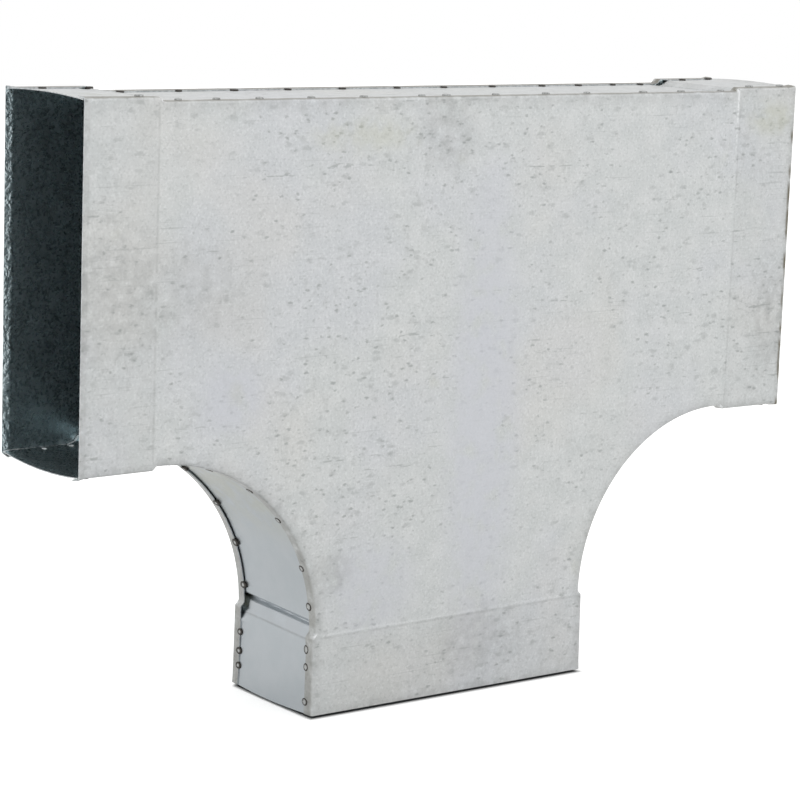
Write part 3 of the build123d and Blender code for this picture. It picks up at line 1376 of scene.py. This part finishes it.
@dataclass
class Strip:
    """A strip that lies under the turned edges of both cheeks."""

    sizes: TeeSizes
    swage: Swage
    path: SeamPath
    cross_cuts: int = 14
    dulling: float = 0.0
    # Painted highlight along each long border, drawn as a pale chafed line, and the width over which it ends
    seam_width: float = 1.7
    seam_border: float = 0.1
    # Painted shade on a joggle's ramp, and a painted shade line in the crease at its foot
    ramp_shade: float = 0.4
    crease_setback: float = 0.8
    crease_width: float = 1.4

    @property
    def name(self) -> str:
        """Name of the solid that the strip stands for."""
        return f"{self.path.name.lower()}_strip"

    @property
    def half_width(self) -> float:
        """Half of the strip's width, which ends at the folds of the cheeks."""
        return self.sizes.half_depth - self.sizes.fold_radius

    def press(self, bm: BMesh) -> None:
        """Presses the sockets and beads, marks its seams with the cheeks as a painted highlight, and paints
        shade on ramps, creases and pocket.
        """
        swage = self.swage
        inset = self.half_width - self.seam_width
        for middle in (-inset, inset):
            for y in (middle - self.seam_border, middle + self.seam_border):
                slice_sheet(bm, (0, y, 0), DEPTH)
        for name in ("edge", "seam", "lap"):
            bm.verts.layers.float.new(name)
        edge, seam, lap = (bm.verts.layers.float[name] for name in ("edge", "seam", "lap"))
        for vert in bm.verts:
            # painted highlight: the pale seam line inside the duct
            vert[seam] = float(abs(vert.co.y) > inset)
            _, from_mouth = swage.from_mouth(vert.co)
            # painted shade on the ramp and in the crease at its foot
            ramp_in_shade = self.ramp_shade if swage.ramp_end < from_mouth < swage.ramp_start else 0.0
            ramp_foot_shade = hump(from_mouth - swage.ramp_end + self.crease_setback, self.crease_width)
            aside = vert.co.y / self.sizes.half_depth
            # painted shade: the lap tint darkens the pocket under the rear lap
            vert[lap] = swage.pocket(from_mouth, aside)
            vert.co = swage.press(vert.co, partial(swage.strip_step, aside=aside))
            vert[edge] = max(self.dulling, ramp_in_shade, ramp_foot_shade)


@dataclass
class HeelStrip(Strip):
    """The straight strip that closes the top of the run."""

    path: SeamPath = SeamPath.HEEL
    dulling: float = 0.6
    pitch: float = 14.0

    def build(self, finishes: Finishes) -> Object:
        """Lays the strip flat under the heel's turned edges and presses its two ends.

        Args:
            finishes: the shared materials.

        Returns:
            The finished piece.
        """
        s = self.sizes
        bm = bmesh.new()
        stretch = Matrix.Diagonal((s.run_half_length, self.half_width, 1.0, 1.0))
        place = Matrix.Translation((0, 0, s.run_top - s.strip_skin)) @ stretch
        cuts = ceil(2 * s.run_half_length / self.pitch)
        bmesh.ops.create_grid(bm, x_segments=cuts, y_segments=self.cross_cuts, size=1.0, matrix=place)
        self.swage.cut(bm, mirrored=True)
        self.press(bm)
        return show_sheet(bm, self.name, finishes.stored, finishes, s.sheet)


@dataclass
class ThroatStrip(Strip):
    """The curved strip from a run mouth round to the branch mouth."""

    arc_cuts: int = 44
    tarnish_start: float = 100.0
    tarnish_length: float = 45.0
    tarnish_stain: float = 0.8
    under_run_shade: float = 0.5

    def build(self, finishes: Finishes) -> Object:
        """Rolls the strip round its throat and presses its two ends.

        Args:
            finishes: the shared materials.

        Returns:
            The finished piece.
        """
        s = self.sizes
        bm = bmesh.new()
        top = s.run_bottom + s.strip_skin
        arc_top, arc_foot = sweep_throat(bm, s, -self.half_width, top, self.arc_cuts)
        to_run_mouth = ALONG * (s.run_half_length - s.throat_x)
        to_branch_mouth = UP * -s.throat_z
        for end, travel in ((arc_top, to_run_mouth), (arc_foot, to_branch_mouth)):
            grown = bmesh.ops.extrude_vert_indiv(bm, verts=[end])["verts"]
            bmesh.ops.translate(bm, verts=grown, vec=travel)
        row = bm.edges[:]
        for _ in range(self.cross_cuts):
            row = extrude_row(bm, row, 2 * self.half_width / self.cross_cuts)
        self.swage.cut(bm, mirrored=False)
        if self.path is SeamPath.LEFT_THROAT:
            bmesh.ops.scale(bm, vec=(-1, 1, 1), verts=bm.verts[:])
        bmesh.ops.recalc_face_normals(bm, faces=bm.faces[:])
        bm.faces.ensure_lookup_table()
        seam = Seam(s, self.path)
        _, out = seam.at(seam.along(bm.faces[0].calc_center_median()))
        if bm.faces[0].normal.dot(out) < 0:
            bmesh.ops.reverse_faces(bm, faces=bm.faces[:])
        self.press(bm)
        self.tarnish_and_shade(bm)
        return show_sheet(bm, self.name, finishes.clean, finishes, s.sheet)

    def tarnish_and_shade(self, bm: BMesh) -> None:
        """Marks the upper part of the strip under the run: a little yellow stain, and painted shade that
        darkens it.
        """
        bm.verts.layers.float.new("stain")
        stain, edge = (bm.verts.layers.float[name] for name in ("stain", "edge"))
        for vert in bm.verts:
            share = ease((vert.co.z - self.tarnish_start) / self.tarnish_length)
            vert[stain] = self.tarnish_stain * share
            # painted shade under the run
            vert[edge] = max(vert[edge], self.under_run_shade * share)


# Lengths along the seam, from its left mouth, of the welds that the photograph shows
SEEN_WELDS = {
    (SeamPath.LEFT_THROAT, CheekSide.FRONT): (9, 41, 66, 100, 132, 164, 202, 229, 256, 270, 291),
    (SeamPath.LEFT_THROAT, CheekSide.REAR): (26, 44, 66, 100, 134, 168, 202, 231, 262, 276, 287),
    (SeamPath.HEEL, CheekSide.FRONT): (
        43, 68, 96, 128, 166, 206, 251, 272, 311, 353, 390, 440, 475, 511, 537, 566,
    ),
    (SeamPath.HEEL, CheekSide.REAR): (
        20, 54, 74, 118, 158, 200, 243, 287, 327, 370, 412, 445, 479, 505, 545, 569,
    ),
}


@dataclass
class WeldRows:
    """The spot welds along the turned edges of one cheek."""

    sizes: TeeSizes
    swage: Swage
    side: CheekSide
    radius: float = 3.0
    setback: float = 7.2
    crown: float = 0.28
    heel_crown: float = 1.0
    # Outline of a button: radius and height of the cap as shares of the weld's, then the wall's share of the
    # depth, then the dome inside as shares of the radius and millimetres under the strip
    cap: tuple[tuple[float, float], ...] = ((0.0, 0.2), (0.45, 0.3), (0.70, 1.0), (0.88, 0.9), (1.0, 0.0))
    wall_share: float = 0.8
    dome: tuple[tuple[float, float], ...] = ((0.62, 0.02), (0.40, 0.40), (0.0, 0.50))
    spin_steps: int = 18
    # How the welds differ from each other
    seed: int = 40
    wander: float = 1.5
    smallest: float = 0.78
    largest: float = 1.05
    # How far the burnt ring reaches in; on the rear welds it reaches further as painted shade
    scorch: float = 0.88
    rear_scorch_and_shade: float = 1.25
    heel_scorch: float = 0.5

    def build(self, finishes: Finishes) -> Object:
        """Sets a pressed button at each weld, a little off its place as a welder leaves it.

        Args:
            finishes: the shared materials.

        Returns:
            The finished piece.
        """
        draw = Random(self.seed + self.side.value)
        front = self.side is CheekSide.FRONT
        bm = bmesh.new()
        spread = bm.verts.layers.float.new("spread")
        heat = bm.verts.layers.float.new("heat")
        nugget = bm.verts.layers.float.new("nugget")
        for path in SeamPath:
            seam = Seam(self.sizes, path)
            # the rear welds' wider dark ring is partly painted shade
            scorch = self.scorch if front else self.rear_scorch_and_shade
            crown = self.crown
            if front and path is SeamPath.HEEL:
                scorch, crown = self.heel_scorch, self.heel_crown
            for length in self.places(seam):
                glow = draw.random()
                length += draw.uniform(-self.wander, self.wander)
                spot, through = self.spot(seam, length)
                verts = self.button(bm, through, crown)
                for vert in verts:
                    vert[spread] = scorch * hypot(vert.co.x, vert.co.y) / self.radius
                    vert[heat] = glow
                    # painted highlight on the dome inside the duct
                    vert[nugget] = float(vert.co.z < -through)
                width = draw.uniform(self.smallest, self.largest)
                height = draw.uniform(self.smallest, self.largest)
                oval = Matrix.Diagonal((width, height, 1.0, 1.0))
                bmesh.ops.transform(bm, matrix=spot @ oval, verts=verts)
        return show_piece(bm, f"{self.side.name.lower()}_cheek_welds", [finishes.weld])

    def places(self, seam: Seam) -> Sequence[float]:
        """Lengths of the welds along a seam: where the photograph shows them, and even where it doesn't."""
        return SEEN_WELDS.get((seam.path, self.side)) or seam.welds()

    def button(self, bm: BMesh, through: float, crown: float) -> list[BMVert]:
        """Spins one weld about Z at the origin: a dimpled cap, a wall and a low dome inside the duct.

        Args:
            bm: mesh that gets the button.
            through: depth from the lap's skin to the inside of the strip.
            crown: height of the cap over the lap.

        Returns:
            The button's vertices.
        """
        r = self.radius
        outline = [(share * r, height * crown) for share, height in self.cap]
        outline += [(r, -self.wall_share * through)]
        outline += [(share * r, -through - depth) for share, depth in self.dome]
        before = set(bm.verts)
        chain = [bm.verts.new((x, 0.0, z)) for x, z in outline]
        edges = [bm.edges.new(pair) for pair in zip(chain, chain[1:])]
        bmesh.ops.spin(
            bm,
            geom=chain + edges,
            cent=(0, 0, 0),
            axis=UP,
            angle=2 * pi,
            steps=self.spin_steps,
            use_merge=True,
        )
        made = [vert for vert in bm.verts if vert not in before]
        bmesh.ops.remove_doubles(bm, verts=made, dist=FINE_SNAP)
        made = [vert for vert in bm.verts if vert not in before]
        faces = list({face for vert in made for face in vert.link_faces})
        bmesh.ops.recalc_face_normals(bm, faces=faces)
        return made

    def spot(self, seam: Seam, length: float) -> tuple[Matrix, float]:
        """Place and turn of a weld on the pressed lap, and how deep the two sheets are there.

        Args:
            seam: the turned edge.
            length: distance along it.

        Returns:
            A matrix whose Z points out of the duct, and the depth down to the inside of the strip.
        """
        s = self.sizes
        place, out = seam.at(length)
        place.y = self.side.value * (s.half_depth - self.setback)
        move = Lap(s, self.side).lift(place)
        place = self.swage.press(place, self.swage.turned_edge_step) + move
        turn = Matrix((DEPTH.cross(out), DEPTH, out)).transposed().to_4x4()
        return Matrix.Translation(place) @ turn, s.strip_skin + s.sheet + move.dot(out)


@dataclass
class Studio:
    """Plain white floor, soft light and the camera, in metres, watts and degrees."""

    white: str = "#FFFFFF"
    floor_half: float = 5.0
    floor_colour: str = "#E9E9E8"
    floor_roughness: float = 0.9
    floor_specular: float = 0.1
    floor_drop: float = 0.0020
    # Light that the camera and reflections see on the floor over what falls on it
    floor_lift: float = 0.5
    floor_mirror_lift: float = 0.18
    # Foot of the tee on the floor: half sizes, cut of the rear corners, fade of the light, edge of the shade
    foot_half: tuple[float, float] = (0.1132, 0.0468)
    foot_corner: float = 0.005
    foot_fade: float = 0.002
    foot_edge: tuple[float, float] = (-0.0025, -0.0008)
    foot_shade: str = "#606060"
    fill: float = 0.9
    key_place: tuple[float, float, float] = (2.1, -2.1, 1.9)
    top_place: tuple[float, float, float] = (0.3, 0.2, 2.8)
    lamp_size: float = 3.2
    lamp_power: float = 9.0
    sensor: float = 36.0
    lens: float = 125.04
    aim: tuple[float, float, float] = (0.0102, 0.0335, 0.1828)
    distance: float = 1.8805
    yaw: float = -37.254
    pitch: float = 10.179
    roll: float = 2.064

    def build(self) -> None:
        """Builds the floor, the light and the camera."""
        bpy.context.scene.view_settings.view_transform = "Standard"
        self.lay_floor()
        self.light_world()
        self.hang_lamp("key_softbox", Vector(self.key_place))
        self.hang_lamp("top_softbox", Vector(self.top_place))
        self.set_camera()

    def lay_floor(self) -> None:
        """Lays the floor just under the tee."""
        bm = bmesh.new()
        level = Matrix.Translation((0, 0, -self.floor_drop))
        bmesh.ops.create_grid(bm, x_segments=1, y_segments=1, size=self.floor_half, matrix=level)
        mesh = bpy.data.meshes.new("studio_floor")
        bm.to_mesh(mesh)
        bm.free()
        mesh.materials.append(self.board())
        floor = bpy.data.objects.new("studio_floor", mesh)
        bpy.context.scene.collection.objects.link(floor)

    def board(self) -> Material:
        """Builds the floor's board: the camera sees it lifted to white, and its colour goes dark under the
        tee as a painted shadow.
        """
        material, tree, shader = blank_material("painted_board_matt")
        shader.inputs["Roughness"].default_value = self.floor_roughness
        shader.inputs["Specular IOR Level"].default_value = self.floor_specular
        shader.inputs["Emission Color"].default_value = linear(self.white)
        outside = self.from_foot(tree)
        clear = add_node(tree, "MapRange", {0: outside, 2: self.foot_fade, 4: self.floor_lift}).outputs[0]
        open_floor = {0: outside, 1: self.foot_edge[0], 2: self.foot_edge[1]}
        open_floor = add_node(tree, "MapRange", open_floor).outputs[0]
        # painted shadow: the board's colour is dark under the foot of the tee
        coats = [(open_floor, self.floor_colour)]
        tree.links.new(lay_coats(tree, self.foot_shade, coats), shader.inputs["Base Color"])
        path = add_node(tree, "LightPath").outputs
        mirrored = {0: path["Is Glossy Ray"], 1: self.floor_mirror_lift}
        mirrored = add_node(tree, "Math", mirrored, operation="MULTIPLY").outputs[0]
        seen = {0: path["Is Camera Ray"], 1: clear, 2: mirrored}
        lift = add_node(tree, "Math", seen, operation="MULTIPLY_ADD")
        tree.links.new(lift.outputs[0], shader.inputs["Emission Strength"])
        return material

    def from_foot(self, tree: NodeTree) -> NodeSocket:
        """Measures how far a place of the floor is outside the foot of the tee.

        Args:
            tree: node tree that gets the nodes.

        Returns:
            The output that holds the distance, below zero under the tee.
        """
        axes = add_node(tree, "SeparateXYZ", {0: add_node(tree, "TexCoord").outputs["Object"]}).outputs
        away = []
        for axis, half in zip(axes, self.foot_half):
            across = add_node(tree, "Math", {0: axis}, operation="ABSOLUTE").outputs[0]
            away.append(add_node(tree, "Math", {0: across, 1: half}, operation="SUBTRACT").outputs[0])
        farther = add_node(tree, "Math", {0: away[0], 1: away[1]}, operation="MAXIMUM").outputs[0]
        behind = add_node(tree, "Math", {0: away[0], 1: axes[1]}, operation="ADD").outputs[0]
        corner = {0: behind, 1: self.foot_half[1] - self.foot_corner}
        corner = add_node(tree, "Math", corner, operation="SUBTRACT").outputs[0]
        return add_node(tree, "Math", {0: farther, 1: corner}, operation="MAXIMUM").outputs[0]

    def light_world(self) -> None:
        """Lights the room: white to the camera and in reflections, softer as a fill."""
        world = bpy.data.worlds.new("studio_room")
        world.use_nodes = True
        bpy.context.scene.world = world
        tree = world.node_tree
        background = tree.nodes["Background"]
        path = add_node(tree, "LightPath").outputs
        shown = path["Is Camera Ray"]
        for kind in ("Is Glossy Ray", "Is Transmission Ray"):
            shown = add_node(tree, "Math", {0: shown, 1: path[kind]}, operation="MAXIMUM").outputs[0]
        strength = add_node(tree, "MapRange", {0: shown, 3: self.fill, 4: 1.0})
        tree.links.new(strength.outputs[0], background.inputs["Strength"])
        background.inputs["Color"].default_value = linear(self.white)

    def hang_lamp(self, name: str, place: Vector) -> None:
        """Hangs a square softbox that faces the tee.

        Args:
            name: name of the lamp.
            place: where it hangs.
        """
        data = bpy.data.lights.new(name, "AREA")
        data.size = self.lamp_size
        data.energy = self.lamp_power
        lamp = bpy.data.objects.new(name, data)
        lamp.location = place
        lamp.rotation_euler = (Vector(self.aim) - place).to_track_quat("-Z", "Y").to_euler()
        bpy.context.scene.collection.objects.link(lamp)

    def set_camera(self) -> None:
        """Sets the camera where the photograph was taken from."""
        data = bpy.data.cameras.new("camera")
        data.sensor_width = self.sensor
        data.lens = self.lens
        data.dof.use_dof = False
        camera = bpy.data.objects.new("camera", data)
        turn = Matrix.Rotation(radians(self.yaw), 4, "Z")
        turn = turn @ Matrix.Rotation(radians(90.0 - self.pitch), 4, "X")
        turn = turn @ Matrix.Rotation(radians(self.roll), 4, "Z")
        back = turn @ Vector((0, 0, self.distance))
        camera.matrix_world = Matrix.Translation(Vector(self.aim) + back) @ turn
        bpy.context.scene.collection.objects.link(camera)
        bpy.context.scene.camera = camera


def main() -> None:
    """Builds the tee and its studio."""
    logging.basicConfig(level=logging.INFO, format="%(name)s: %(message)s")
    sizes = TeeSizes.from_frame()
    swage = Swage(sizes)
    finishes = Finishes.mixed()
    for side in CheekSide:
        Cheek(sizes, swage, side).build(finishes)
        WeldRows(sizes, swage, side).build(finishes)
    HeelStrip(sizes, swage).build(finishes)
    for path in (SeamPath.LEFT_THROAT, SeamPath.RIGHT_THROAT):
        ThroatStrip(sizes, swage, path).build(finishes)
    Studio().build()
    bpy.context.view_layer.update()


if __name__ == "__main__":
    main()
